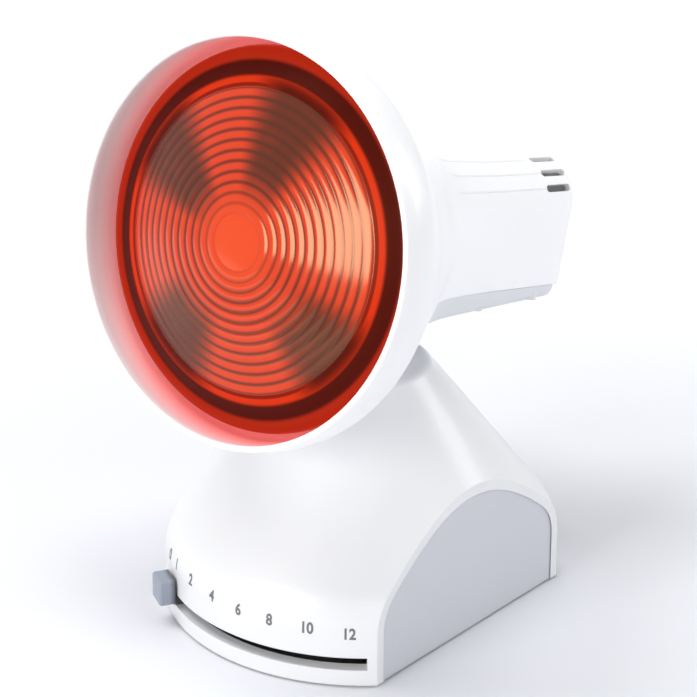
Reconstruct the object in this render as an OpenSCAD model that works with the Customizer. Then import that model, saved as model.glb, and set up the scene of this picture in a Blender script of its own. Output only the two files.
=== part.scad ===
// Infrared heat lamp: a round base with a minute slider, and a tilting head that
// holds a pressed-glass reflector bulb.
// Frame: X across, -Y to the front (the scale side), +Z up, origin on the table
// under the centre of the round base. Millimetres.
// The head is drawn in its own axes: x across, y back along the bulb, z square to both.

/* [Base] */
// Radius of the round base, which the minute scale runs along
base_r = 66.2; // [64:0.1:70]
// Distance from the middle to each flat side
side_x = 45.8; // [43:0.1:48]
// Wall of the base shell
base_wall = 2.4; // [2:0.1:3]
// Height where the upright skirt ends
skirt_z = 18.8; // [17:0.1:21]
// Radius of the shoulder between skirt and cone
shoulder_r = 23; // [18:0.5:26]
// Lean of the cone from upright
cone_deg = 36.87; // [36:0.1:38]
// Height of the flat top of the cone
base_top_z = 86; // [84:0.5:88]
// Height of the rubber feet under the shell
foot_h = 0.8; // [0.6:0.1:1.2]

/* [Minute slider] */
// Half the angle that the slot covers
slot_half_deg = 41; // [40:0.5:42]
// Underside of the slot
slot_z = 6.4; // [6:0.1:7]
// Height of the slot
slot_h = 4.5; // [4:0.1:5]
// Angle of the slider as it stands, from the front
slider_deg = -30.8; // [-35:0.1:-30]
// Radial depth of the slider knob
knob_depth = 5.4; // [5:0.1:7]
// Width of the slider knob
knob_w = 8.7; // [6:0.1:9]
// Height of the slider knob
knob_h = 9.1; // [8:0.1:11]

/* [Head] */
// Upward tilt of the head as it stands
head_tilt = 15.7; // [12:0.1:18]
// Front rim of the shade, forward of the base centre
rim_y = -61.4; // [-63:0.1:-60]
// Height of the centre of the rim
rim_z = 148.5; // [147:0.1:150]
// Inner radius of the shade at the rim
rim_in_r = 63.5; // [63:0.1:64]
// Wall of the shade and housing
head_wall = 2.2; // [2:0.1:2.4]
// Back face of the housing, behind the rim
head_back = 143.5; // [142:0.5:146]
// Height of the tilt pivot above the table
pivot_z = 78; // [77:0.5:79]
// Radius of the pivot bolt
pivot_r = 3; // [2.5:0.1:3.5]

/* [Bulb] */
// Radius of the bulb's front glass
bulb_r = 61; // [60:0.1:61]
// Edge of the front glass, behind the rim
lens_edge = 11.2; // [11:0.1:14]
// Middle of the front glass, behind the rim
lens_front = -1.2; // [-1.5:0.1:1]
// Wall of the bulb's glass
glass_wall = 2.8; // [2:0.1:3.5]
// Radius of the screw cap over its thread
cap_r = 13.2; // [13:0.1:13.3]

/* [Hidden] */

$fn = 72;
big = 300;              // longer than the object, for cutting
gap = 0.15;             // seam between fitted pieces
arc_steps = 10;         // straight pieces in each profile arc

white = [0.93, 0.94, 0.96];
pale_grey = [0.8, 0.81, 0.85];
slate = [0.55, 0.6, 0.67];
dark = [0.2, 0.2, 0.19];
steel = [0.72, 0.73, 0.75];
brass = [0.8, 0.68, 0.4];
black = [0.1, 0.1, 0.1];
red_glass = [0.75, 0.09, 0.03];

// ---- shared shapes -------------------------------------------------------------

// points of an arc about [cx, cy], angles in degrees
function arc(cx, cy, r, from, to, n = arc_steps) =
    [for (i = [0 : n]) [cx + r * cos(from + (to - from) * i / n),
                        cy + r * sin(from + (to - from) * i / n)]];

// a ring or disc between two heights
module disc(r, z0, z1) {
    translate([0, 0, z0]) cylinder(r = r, h = z1 - z0);
}
module ring(r_out, r_in, z0, z1) {
    difference() {
        disc(r_out, z0, z1);
        translate([0, 0, z0 - 1]) cylinder(r = r_in, h = z1 - z0 + 2);
    }
}
// a box centred on X and Y
module block(wx, wy, z0, z1) {
    translate([-wx / 2, -wy / 2, z0]) cube([wx, wy, z1 - z0]);
}
// a cylinder along X, centred
module rod_x(r, length) {
    rotate([0, 90, 0]) cylinder(r = r, h = length, center = true);
}
// a pan-head screw pointing down, the underside of its head at z = 0
module screw(r, length, head_r) {
    color(steel) {
        difference() {
            disc(head_r, 0, head_r * 0.6);
            block(head_r * 1.4, 0.6, head_r * 0.3, head_r);
        }
        disc(r, -length, 0);
    }
}
// a round lead swept along a route of points
lead_sides = 8;
function unit(v) = v / norm(v);
function lead_dir(p, i) =
    unit(p[min(i + 1, len(p) - 1)] - p[max(i - 1, 0)]);
function lead_side(d) =
    abs(d[0]) < 0.9 ? unit(cross(d, [1, 0, 0])) : unit(cross(d, [0, 1, 0]));
module lead(route, r) {
    rings = [for (i = [0 : len(route) - 1])
        let (d = lead_dir(route, i), s = lead_side(d), t = cross(d, s))
        for (k = [0 : lead_sides - 1])
            route[i] + r * (s * cos(360 * k / lead_sides) + t * sin(360 * k / lead_sides))];
    walls = [for (i = [0 : len(route) - 2], k = [0 : lead_sides - 1])
        let (a = i * lead_sides + k, b = i * lead_sides + (k + 1) % lead_sides)
        [a, b, b + lead_sides, a + lead_sides]];
    ends = [[for (k = [lead_sides - 1 : -1 : 0]) k],
            [for (k = [0 : lead_sides - 1]) (len(route) - 1) * lead_sides + k]];
    polyhedron(rings, concat(walls, ends), convexity = 6);
}

// ---- base ----------------------------------------------------------------------

// radius of the cone's outside at a height
cone_r0 = base_r - shoulder_r * (1 - cos(cone_deg));
cone_z0 = skirt_z + shoulder_r * sin(cone_deg);
function cone_r(z) = cone_r0 - (z - cone_z0) * tan(cone_deg);

top_round = 4;
top_c = [cone_r(base_top_z - top_round) - top_round / cos(cone_deg), base_top_z - top_round];

// solid of revolution of the base, its surface moved inward by t, with its floor at z0
module base_solid(t, z0, top) {
    r = shoulder_r - t;
    rotate_extrude($fn = 144)
        polygon(concat(
            [[0, z0], [base_r - t, z0]],
            arc(base_r - shoulder_r, skirt_z, r, 0, cone_deg),
            t == 0 ? arc(top_c[0], top_c[1], top_round, cone_deg, 90)
                   : [[cone_r(top) - t / cos(cone_deg), top]],
            [[0, t == 0 ? base_top_z : top]]));
}

slot_rib_in = base_r - 4.5;
neck_x = 14;
neck_front = -19;
neck_rear = 24;
neck_floor_z = 62;
yoke_half = 8.9;
yoke_floor_z = 66;
yoke_front = -12.5;
yoke_rear = 17.5;
boss_at = [[-35.5, -32], [35.5, -32], [-30, 36], [30, 36]];
boss_r = 4;
plate_t = 2.2;
plate_top = foot_h + plate_t;
screw_seat = 2;         // height that the plate's screw heads bear on
gland_z = 16;
gland_r = 5.5;
cavity_top = 84;

// a band round the front of the base, between two angles from the front
module front_band(r_in, r_out, z0, z1, from, to) {
    rotate([0, 0, -90 + from])
        rotate_extrude(angle = to - from, $fn = 144)
            translate([r_in, z0]) square([r_out - r_in, z1 - z0]);
}

module base_shell() {
    color(white) difference() {
        union() {
            intersection() {
                difference() {
                    base_solid(0, foot_h, base_top_z);
                    base_solid(base_wall, -1, cavity_top);
                }
                block(2 * side_x, big, -1, big);
            }
            // thick wall along the slot
            front_band(slot_rib_in, base_r - 1, slot_z - 2, slot_z + slot_h + 2,
                       -slot_half_deg - 1.4, slot_half_deg + 1.4);
            // solid neck that carries the pivot
            intersection() {
                base_solid(0, foot_h, base_top_z);
                translate([-neck_x, neck_front, neck_floor_z])
                    cube([2 * neck_x, neck_rear - neck_front, big]);
            }
            // screw bosses under the cone
            for (p = boss_at)
                intersection() {
                    base_solid(1, foot_h, base_top_z - 1);
                    translate([p[0], p[1], plate_top]) cylinder(r = boss_r, h = 60);
                }
        }
        front_band(slot_rib_in - 2, base_r + 2, slot_z, slot_z + slot_h,
                   -slot_half_deg, slot_half_deg);
        // fork for the head's lug, and the pivot's bore
        translate([-yoke_half, yoke_front, yoke_floor_z])
            cube([2 * yoke_half, yoke_rear - yoke_front, big]);
        translate([0, 0, pivot_z]) rod_x(pivot_r + 0.05, 2 * neck_x + 6);
        // way for the lead through the fork's floor
        translate([0, 8, neck_floor_z - 3]) cylinder(r = 4, h = 10);
        for (p = boss_at)
            translate([p[0], p[1], 0]) cylinder(r = 1.5, h = plate_top + 12);
        // hole for the cable gland
        translate([0, base_r - 10, gland_z]) rotate([-90, 0, 0]) cylinder(r = gland_r, h = 20);
    }
}

// flat cheek that fills one side of the base
cover_t = 2.2;
cheek_x = side_x - 0.5; // outer face, just inside the shell's edge
module side_cover(sx) {
    color(pale_grey) difference() {
        intersection() {
            base_solid(base_wall + gap, foot_h, cavity_top);
            translate([sx * (cheek_x - cover_t / 2), 0, 0]) block(cover_t, big, 0, big);
        }
        for (y = [-30, 30])
            translate([sx * (cheek_x - cover_t), y, plate_top]) block(1, 8, 0, 2);
    }
    // ledges that hook under the wall
    color(pale_grey) for (y = [-24, 24])
        translate([sx * (cheek_x - cover_t - 1.5), y, 26]) block(3, 10, 0, 2);
}
module side_cover_left() { side_cover(-1); }
module side_cover_right() { side_cover(1); }

foot_at = [[-33, -46], [33, -46], [-33, 46], [33, 46], [0, 0]];
foot_r = 6;
vent_at = [for (i = [-3 : 3]) i * 6];
module base_plate() {
    color(dark) difference() {
        intersection() {
            disc(base_r - base_wall - gap, foot_h, plate_top);
            block(2 * (cheek_x - cover_t - gap), big, -1, big);
        }
        for (p = foot_at) translate([p[0], p[1], -1]) cylinder(r = 2, h = 10);
        for (p = boss_at) translate([p[0], p[1], -1]) {
            cylinder(r = 1.7, h = 10);
            cylinder(r = 3.4, h = 1 + screw_seat);
        }
        // vents under the timer
        for (x = vent_at) translate([x, 44, 0]) block(2.5, 14, -1, 10);
        for (p = timer_post_at) translate([p[0], p[1], -1]) cylinder(r = 1.6, h = 10);
    }
}
module base_feet() {
    color(black) for (p = foot_at) translate([p[0], p[1], 0]) {
        disc(foot_r, 0, foot_h);
        disc(2, foot_h, plate_top);
        disc(2.8, plate_top, plate_top + 1.2);
    }
}
module plate_screws() {
    for (p = boss_at)
        translate([p[0], p[1], screw_seat]) rotate([180, 0, 0]) screw(1.5, 12, 3);
}

// ---- timer ---------------------------------------------------------------------

// the posts stand clear of the lever's sweep, which is at the front
timer_post_at = [for (a = [-25, 90, 205]) [23 * cos(a), 23 * sin(a)]];
case_z = 13;
case_top = 36;
case_r = 28;
case_wall = 1.6;
shaft_r = 3;
shaft_z = 4.8;          // just above the middle foot
arm_z = slot_z + 0.8;
arm_t = slot_h - 1.6;
arm_end_r = base_r + 0.7;
module timer_case() {
    color(steel) {
        difference() {
            disc(case_r, case_z, case_z + case_wall);
            disc(shaft_r + 0.05, 0, 50);
            translate([escape_at[0], escape_at[1], 0]) disc(1.05, 0, 50);
            for (p = timer_post_at) translate([p[0], p[1], 0]) cylinder(r = 1.6, h = 50);
        }
        // pillars between base plate, lower plate and upper plate
        for (p = timer_post_at) translate([p[0], p[1], 0]) {
            ring(3, 1.6, plate_top, case_z);
            ring(3, 1.6, case_z + case_wall, case_top - case_wall);
        }
    }
}
module timer_cover() {
    color(steel) difference() {
        disc(case_r, case_top - case_wall, case_top);
        disc(shaft_r + 0.05, 0, 50);
        translate([escape_at[0], escape_at[1], 0]) disc(1.05, 0, 50);
        for (p = timer_post_at) translate([p[0], p[1], 0]) cylinder(r = 1.6, h = 50);
    }
}
module timer_screws() {
    for (p = timer_post_at) translate([p[0], p[1], case_top]) screw(1.5, 35, 3);
}
module timer_shaft() {
    color(steel) {
        disc(shaft_r, shaft_z, 44);
        ring(4.4, shaft_r - 0.5, case_z + case_wall + 0.4, case_z + case_wall + 1.2);
    }
}

// gears: straight-sided teeth, thin enough to leave backlash
gear_module = 0.6;
drive_teeth = 60;
pinion_teeth = 12;
drive_pitch_r = drive_teeth * gear_module / 2;
pinion_pitch_r = pinion_teeth * gear_module / 2;
mesh_gap = 0.35;
escape_dir = 60;
escape_d = drive_pitch_r + pinion_pitch_r + mesh_gap;
escape_at = [escape_d * cos(escape_dir), escape_d * sin(escape_dir)];
gear_z = 16;
module gear(teeth, thickness, turn) {
    pitch_r = teeth * gear_module / 2;
    root_r = pitch_r - 1.1 * gear_module;
    tip_r = pitch_r + 0.8 * gear_module;
    root_half = 0.32 * 180 / teeth * 1.4;
    tip_half = 0.16 * 180 / teeth * 1.4;
    linear_extrude(thickness) rotate(turn) polygon([
        for (i = [0 : teeth - 1])
            let (a = 360 * i / teeth)
            each [root_r * [cos(a - root_half), sin(a - root_half)],
                  tip_r * [cos(a - tip_half), sin(a - tip_half)],
                  tip_r * [cos(a + tip_half), sin(a + tip_half)],
                  root_r * [cos(a + root_half), sin(a + root_half)]]]);
}
module drive_gear() {
    color(brass) difference() {
        union() {
            translate([0, 0, gear_z]) gear(drive_teeth, 2, escape_dir);
            disc(6, gear_z + 2, gear_z + 4);
        }
        disc(shaft_r, 0, 50);
        for (a = [0 : 72 : 288]) rotate(a + 20) translate([11, 0, 0]) cylinder(r = 3, h = 50);
    }
}
// pinion, arbor and toothed escape wheel, which turn as one
escape_teeth = 15;
module escape_wheel() {
    color(brass) translate([escape_at[0], escape_at[1], 0]) {
        translate([0, 0, gear_z - 0.5])
            gear(pinion_teeth, 3, escape_dir + 180 + 180 / pinion_teeth);
        disc(1, case_z - 0.5, case_top - 0.3);
        translate([0, 0, 30]) linear_extrude(1) polygon([
            for (i = [0 : escape_teeth - 1])
                let (a = 360 * i / escape_teeth)
                each [5 * [cos(a), sin(a)], 6.4 * [cos(a + 3), sin(a + 3)],
                      5 * [cos(a + 9), sin(a + 9)]]]);
    }
}
barrel_z = 21;
barrel_r = 11;
module spring_barrel() {
    color(brass) difference() {
        disc(barrel_r, barrel_z, barrel_z + 7);
        disc(shaft_r + 0.05, 0, 50);
        ring(barrel_r - 0.8, 4, barrel_z + 1, barrel_z + 6);
    }
}
// flat coil spring inside the barrel
spring_turns = 4;
spring_steps = 20;
function spiral(r_shift) = [for (i = [0 : spring_turns * spring_steps])
    let (a = 360 * i / spring_steps, r = 4.6 + r_shift + 4.8 * i / (spring_turns * spring_steps))
    r * [cos(a), sin(a)]];
function reversed(p) = [for (i = [len(p) - 1 : -1 : 0]) p[i]];
module mainspring() {
    color(steel) translate([0, 0, barrel_z + 1.3])
        linear_extrude(4.4) polygon(concat(spiral(0), reversed(spiral(0.35))));
}
cam_z = 38;
cam_r = 9;
module switch_cam() {
    color(white) difference() {
        disc(cam_r, cam_z, cam_z + 3);
        disc(shaft_r, 0, 50);
        // flat that lets the contacts open at zero
        rotate([0, 0, 90]) translate([cam_r - 0.8, -4, cam_z - 1]) cube([4, 8, 10]);
    }
}
blade_y = [12.4, 14.4];
blade_t = 0.5;
blade_z = case_top + 2;
blade_x = -13;
module switch_block() {
    color(black) difference() {
        translate([-14, 12, case_top]) cube([28, 8, 8]);
        translate([-11, 11, case_top + 1.5]) cube([22, 7, 10]);
        // slots that grip the blades
        for (y = blade_y) translate([blade_x, y, blade_z]) cube([3, blade_t, 10]);
    }
}
module contact_blades() {
    color(brass) {
        for (y = blade_y) translate([blade_x, y, blade_z]) cube([24, blade_t, 4]);
        // follower that rides on the cam
        translate([-2, cam_r + 0.4, blade_z + 0.5])
            cube([4, blade_y[0] - cam_r - 0.4 + blade_t, 2]);
    }
}

// lever that carries the knob through the slot
module slider_arm() {
    color(dark) difference() {
        union() {
            disc(7, arm_z - 1.6, arm_z + arm_t + 1.6);
            rotate([0, 0, -90 + slider_deg]) translate([0, -3, arm_z])
                cube([arm_end_r, 6, arm_t]);
            rotate([0, 0, -90 + slider_deg]) translate([0, -4.5, arm_z])
                cube([slot_rib_in - 3, 9, arm_t]);
        }
        disc(shaft_r, 0, 50);
    }
}
knob_z = 7.9;
knob_round = 0.8;
module slider_knob() {
    color(slate) rotate([0, 0, -90 + slider_deg]) translate([arm_end_r, 0, knob_z])
        hull()
            for (y = [-1, 1], z = [knob_round, knob_h - knob_round])
                translate([0, y * (knob_w / 2 - knob_round), z]) {
                    rotate([0, 90, 0]) cylinder(r = knob_round, h = knob_depth - 0.6, $fn = 24);
                    rotate([0, 90, 0])
                        cylinder(r = knob_round - 0.5, h = knob_depth, $fn = 24);
                }
}

// gong that the timer strikes, and its post
bell_at = [0, 42];
module bell_gong() {
    color(steel) translate([bell_at[0], bell_at[1], 0]) difference() {
        rotate_extrude() polygon(concat(
            [[0, 21.8]], arc(0, 12.5, 11, 58, 0), [[10.2, 12.5]], arc(0, 12.5, 10.2, 0, 58), [[0, 21]]));
        disc(1.6, 0, 50);
    }
}
module bell_post() {
    color(brass) translate([bell_at[0], bell_at[1], 0]) {
        disc(3, plate_top, 20.6);
        disc(1.6, 20.6, 23);
        disc(3, 23, 24.4);
    }
}

// ---- mains side ----------------------------------------------------------------

terminal_at = [-34.5, 20];
module terminal_block() {
    color(white) translate([terminal_at[0], terminal_at[1], 0]) difference() {
        block(14, 22, plate_top, plate_top + 11);
        for (y = [-7, 0, 7]) translate([0, y, plate_top + 7])
            rotate([0, 90, 0]) cylinder(r = 1.8, h = 20, center = true);
        for (x = [-3.5, 3.5], y = [-7, 0, 7])
            translate([x, y, plate_top + 7]) cylinder(r = 1.2, h = 6);
    }
}
gland_out = base_r + 1.6;
module cable_gland() {
    color(white) translate([0, 0, gland_z]) rotate([-90, 0, 0]) difference() {
        union() {
            disc(gland_r, base_r - 12, gland_out);
            disc(gland_r + 2, base_r + 0.05, gland_out);
        }
        translate([0, 0, base_r - 20]) cylinder(r = 3.2, h = 40);
    }
}
module gland_nut() {
    color(white) translate([0, 0, gland_z]) rotate([-90, 0, 0]) difference() {
        translate([0, 0, base_r - 8]) cylinder(r = 8.5, h = 3.5, $fn = 6);
        translate([0, 0, base_r - 20]) cylinder(r = gland_r, h = 40);
    }
}
lead_r = 1.5;
lead_neck_y = 8;
base_route = [[-29, 20, 10], [-24, 20, 10], [-18.5, 21, 10], [-15.5, 24.5, 11], [-14, 30, 15], [-12, 33, 22],
              [-10, 33, 30], [-8, 31, 38], [-4, 27, 46], [-1, 20, 53], [0, 12, 58],
              [0, lead_neck_y, 62], [0, lead_neck_y, 67]];
module base_lead() { color([0.3, 0.3, 0.32]) lead(base_route, lead_r); }

// ---- pivot ---------------------------------------------------------------------

module pivot_bolt() {
    color(steel) translate([0, 0, pivot_z]) {
        rod_x(pivot_r, 2 * neck_x + 10);
        translate([-neck_x - 5, 0, 0]) rotate([0, 90, 0]) cylinder(r = 5, h = 5, $fn = 48);
    }
}
module pivot_nut() {
    color(steel) translate([neck_x, 0, pivot_z]) rotate([0, 90, 0]) difference() {
        cylinder(r = 5.6, h = 4.5, $fn = 6);
        translate([0, 0, -1]) cylinder(r = pivot_r, h = 10);
    }
}
washer_in = 8;
module friction_washers() {
    color(dark) for (s = [-1, 1])
        translate([s * (washer_in + yoke_half) / 2, 0, pivot_z]) rotate([0, 90, 0])
            difference() {
                cylinder(r = 7.8, h = yoke_half - washer_in, center = true);
                cylinder(r = pivot_r, h = 10, center = true);
            }
}

// ---- head ----------------------------------------------------------------------

// head axes: y runs back along the bulb from the rim, z is square to it
module in_head() {
    translate([0, rim_y, rim_z]) rotate([-head_tilt, 0, 0]) children();
}
// turns a shape drawn along +Z to run back along the bulb
module backward() { rotate([-90, 0, 0]) children(); }

pivot_a = -rim_y * cos(head_tilt) + (rim_z - pivot_z) * sin(head_tilt);
pivot_w = -rim_y * sin(head_tilt) - (rim_z - pivot_z) * cos(head_tilt);

// outline of the shade from the rim to the end of its flare: [distance back, radius]
shade_outline = [[0.6, 65.3], [2, 65.9], [6, 66.1], [12, 65.7], [15.5, 64.9], [18.5, 63.5],
                 [24, 60.2], [30, 56.2], [38, 51.5], [48, 45.9], [57, 40.4], [65, 35.6],
                 [72, 31.8], [79, 28.9], [86, 27.1]];
flare_end = 86;
function moved_in(p, t) = [for (q = p) [q[0], q[1] - t]];
function swapped(p) = [for (q = p) [q[1], q[0]]];

module shade_outside() {
    backward() rotate_extrude($fn = 144)
        polygon(concat([[0, 0]], [[rim_in_r + 1.2, 0]], swapped(shade_outline), [[0, flare_end]]));
}
module shade_inside() {
    backward() rotate_extrude($fn = 144)
        polygon(concat([[0, -1], [rim_in_r, -1]],
                       swapped(moved_in(shade_outline, head_wall)), [[0, flare_end]]));
}
// rear housing: a box with a domed roof that narrows backwards
roof_dome_r = 42;
corner_r = 15;
floor_r = 4;
box_front = 60;
function box_half(a) = 27.2 - 0.02 * (a - box_front);
function box_roof(a) = 29.3 - 0.015 * (a - box_front);
function box_floor(a) = -25.4 + 0.057 * (a - box_front);
// middle of the roof's corner, where it runs smoothly into the dome
function corner_x(a) = box_half(a) - corner_r;
function corner_w(a) =
    box_roof(a) - roof_dome_r + sqrt(pow(roof_dome_r - corner_r, 2) - pow(corner_x(a), 2));
function corner_end(a) = acos(corner_x(a) / (roof_dome_r - corner_r));
// one slice across the housing, moved inward by t
function box_profile(a, t) = concat(
    arc(corner_x(a), corner_w(a), corner_r - t, 0, corner_end(a), 8),
    arc(0, box_roof(a) - roof_dome_r, roof_dome_r - t, corner_end(a), 180 - corner_end(a), 8),
    arc(-corner_x(a), corner_w(a), corner_r - t, 180 - corner_end(a), 180, 8),
    arc(-box_half(a) + floor_r, box_floor(a) + floor_r, floor_r - t, 180, 270, 4),
    arc(box_half(a) - floor_r, box_floor(a) + floor_r, floor_r - t, 270, 360, 4));
module box_slice(a, t) {
    translate([0, a, 0]) rotate([90, 0, 0]) linear_extrude(0.01) polygon(box_profile(a, t));
}
module box_solid(t, from, to) {
    hull() {
        box_slice(from, t);
        box_slice(to - 2, t);
        box_slice(to - 0.6, t + 0.6);
        box_slice(to, t + 1.8);
    }
}
seam_w = -15.4;         // seam between shell and bottom cover
seam_front = 66;        // where the bottom cover starts
vent_from = 127;
vent_to = 140.6;
vent_w = 2.6;
vent_angles = [18, 42, 63];
// places of the vents round the roof's corner, on both sides
module at_vents(a) {
    for (s = [-1, 1], v = vent_angles)
        translate([s * corner_x(a), 0, corner_w(a)]) rotate([0, s * v, 0]) children();
}
// everything below the seam at the back of the head
module below_seam(shift) {
    translate([-big / 2, seam_front - shift, -big]) cube([big, big, big + seam_w + shift]);
}
module head_cavity() {
    shade_inside();
    box_solid(head_wall, box_front, head_back - head_wall);
}
cover_screw_at = [[-22.3, 100], [22.3, 100], [-22.3, 130], [22.3, 130]];
module head_shell() {
    color(white) in_head() difference() {
        union() {
            difference() {
                union() {
                    shade_outside();
                    box_solid(0, box_front, head_back);
                }
                head_cavity();
            }
            for (p = cover_screw_at)
                translate([p[0], p[1], seam_w]) cylinder(r = 2.6, h = 10, $fn = 32);
        }
        below_seam(0);
        at_vents(vent_from) translate([-vent_w / 2, vent_from, corner_r - 5])
            cube([vent_w, vent_to - vent_from, 8]);
        for (p = cover_screw_at)
            translate([p[0], p[1], seam_w - 1]) cylinder(r = 1.2, h = 10, $fn = 32);
    }
}
// the bottom cover's own outline, stepped in from the shell and cut up at the back
cover_step = 0.4;
module cover_solid() {
    hull() {
        box_slice(box_front, cover_step);
        box_slice(133, cover_step);
        box_slice(140.5, cover_step + 2.6);
    }
}
cover_sink = 3.2;       // depth of the screw heads in the cover
lug_half = 7.6;
lug_r = 9;
module bottom_cover() {
    color(white) in_head() difference() {
        union() {
            intersection() {
                difference() {
                    union() {
                        shade_outside();
                        cover_solid();
                    }
                    head_cavity();
                }
                translate([0, 0, -gap]) below_seam(-gap);
            }
            // lug that stands in the fork
            difference() {
                translate([-lug_half, pivot_a - lug_r, pivot_w])
                    cube([2 * lug_half, 2 * lug_r, 25]);
                shade_inside();
            }
            translate([0, pivot_a, pivot_w]) rod_x(lug_r, 2 * lug_half);
            for (p = cover_screw_at)
                translate([p[0], p[1], box_floor(p[1]) + 1])
                    cylinder(r = 3.2, h = seam_w - gap - box_floor(p[1]) - 1, $fn = 32);
        }
        translate([0, pivot_a, pivot_w]) rod_x(pivot_r + 0.05, 40);
        // way for the lead beside the bolt
        translate([0, pivot_a + 6, pivot_w - 20]) cylinder(r = 1.9, h = 60, $fn = 32);
        for (p = cover_screw_at)
            translate([p[0], p[1], -40]) {
                cylinder(r = 1.4, h = 60, $fn = 32);
                cylinder(r = 2.3, h = 40 + box_floor(p[1]) + cover_sink, $fn = 32);
            }
    }
}
module cover_screws() {
    in_head() for (p = cover_screw_at)
        translate([p[0], p[1], box_floor(p[1]) + cover_sink]) rotate([180, 0, 0])
            screw(1.2, 10, 2.1);
}

// ---- lamp holder ---------------------------------------------------------------

holder_front = 109;
bracket_t = 1.2;
holder_back = head_back - head_wall - bracket_t;
holder_r = 17.4;
holder_floor = 136.2;
holder_screw_x = [-11.4, 11.4];
module lamp_holder() {
    color(white) in_head() backward() difference() {
        union() {
            disc(holder_r, holder_front + 6, holder_back);
            disc(16.4, holder_front, holder_front + 6);
        }
        disc(14.5, holder_front - 1, holder_floor);
        for (x = holder_screw_x) translate([x, 0, 0]) disc(1.4, holder_floor - 1, 200);
    }
}
module holder_sleeve() {
    color(brass) in_head() backward() ring(14.5, 13.7, holder_front + 3, holder_floor - 3);
}
module holder_contact() {
    color(brass) in_head() backward() {
        block(5, 5, holder_floor - 0.6, holder_floor);
    }
}
module holder_bracket() {
    color(steel) in_head() backward() difference() {
        block(43, 20, holder_back, holder_back + bracket_t);
        for (x = holder_screw_x) translate([x, 0, 0]) disc(1.4, 0, 200);
        disc(5, 0, 200);
    }
}
module holder_screws() {
    in_head() backward() for (x = holder_screw_x)
        translate([x, 0, holder_floor - 0.2]) rotate([180, 0, 0]) translate([0, 0, 0.2])
            screw(1.3, holder_back + bracket_t - holder_floor, 1.9);
}

// ---- bulb ----------------------------------------------------------------------

lens_sag = lens_edge - lens_front;
function lens_at(r, t) = lens_front + t + lens_sag * pow(r / bulb_r, 2);
lens_steps = 12;
lens_ring_r = bulb_r - 1.5;
lens_back = lens_edge + 3.2;
module bulb_lens() {
    color(red_glass) in_head() backward() rotate_extrude($fn = 144) polygon(concat(
        [for (i = [0 : lens_steps]) let (r = lens_ring_r * i / lens_steps) [r, lens_at(r, 0)]],
        [[bulb_r, lens_edge + 0.6], [bulb_r, lens_back], [bulb_r - 3.5, lens_back]],
        [for (i = [lens_steps : -1 : 0]) let (r = (lens_ring_r - 3) * i / lens_steps)
            [r, lens_at(r, glass_wall)]]));
}
// parabolic reflector: radius at a distance back
bowl_apex = 82;
bowl_k = 50.9;
function bowl(a) = sqrt(bowl_k * (bowl_apex - a));
bowl_end = 73;
bowl_steps = 12;
function bowl_points(t, from, to) =
    [for (i = [0 : bowl_steps]) let (a = from + (to - from) * i / bowl_steps) [bowl(a) - t, a]];
module bulb_reflector() {
    color([0.8, 0.8, 0.82]) in_head() backward() rotate_extrude($fn = 144) polygon(concat(
        [[bulb_r, lens_back], [bulb_r, lens_back + 1.8]],
        bowl_points(0, lens_back + 3.2, bowl_end),
        [[0, bowl_end], [0, bowl_end - glass_wall]],
        reversed(bowl_points(glass_wall, lens_back + 1, bowl_end - glass_wall)),
        [[bulb_r - 3.5, lens_back]]));
}
cap_front = 108;
contact_end = 135.4;
module bulb_skirt() {
    color(steel) in_head() backward() rotate_extrude() polygon([
        [19, bowl_end], [20.6, bowl_end], [20.6, bowl_end + 2], [19.6, bowl_end + 3],
        [18.8, 88], [15.6, 102], [14, cap_front - 1], [13.2, cap_front],
        [11.5, cap_front], [12.5, cap_front - 2], [14.2, 101.5], [17.4, 87.5],
        [18.2, bowl_end + 3]]);
}
// rolled thread, drawn as rings
thread_pitch = 3.6;
thread_turns = 5;
thread_steps = 8;
module bulb_cap() {
    color(steel) in_head() backward() rotate_extrude() polygon(concat(
        [[cap_r - 2, cap_front], [cap_r - 0.6, cap_front]],
        [for (i = [0 : thread_turns * thread_steps])
            [cap_r - 0.6 + 0.6 * sin(360 * i / thread_steps - 90),
             cap_front + 2 + thread_pitch * i / thread_steps]],
        [[cap_r - 1.5, cap_front + 22], [9, cap_front + 24.4], [7, cap_front + 24.4],
         [cap_r - 2.6, cap_front + 21]]));
}
module bulb_insulator() {
    color(black) in_head() backward() rotate_extrude() polygon([
        [0, cap_front + 24.4], [9, cap_front + 24.4], [5.4, contact_end - 1.2],
        [0, contact_end - 1.2]]);
}
module bulb_contact() {
    color(steel) in_head() backward() rotate_extrude() polygon([
        [0, contact_end - 1.2], [4.6, contact_end - 1.2], [3.4, contact_end - 0.3],
        [0, contact_end]]);
}
filament_a = 66;
module bulb_filament() {
    color([0.5, 0.45, 0.4]) in_head() translate([0, filament_a, 0]) backward()
        rotate([0, 0, -60]) rotate_extrude(angle = 300) translate([6, 0]) circle(r = 0.7, $fn = 24);
}
module filament_posts() {
    color(steel) in_head() for (s = [-1, 1])
        translate([s * 3, filament_a + 0.7, s * 5.2]) backward()
            cylinder(r = 0.5, h = bowl_end - glass_wall - filament_a - 0.7, $fn = 24);
}
head_route = [[0, pivot_a + 6, pivot_w + 3], [0, pivot_a + 6, -30], [0, pivot_a + 6, -23],
              [0.5, 84.8, -21.2], [2, 87, -20.3], [6, 91, -19.6], [10.5, 97, -18.6],
              [14, 104, -17.5], [16, 112, -15.5], [14, 120, -16.5]];
head_lead_r = 1.1;
module head_lead() { color([0.85, 0.85, 0.8]) in_head() lead(head_route, head_lead_r); }

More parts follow.
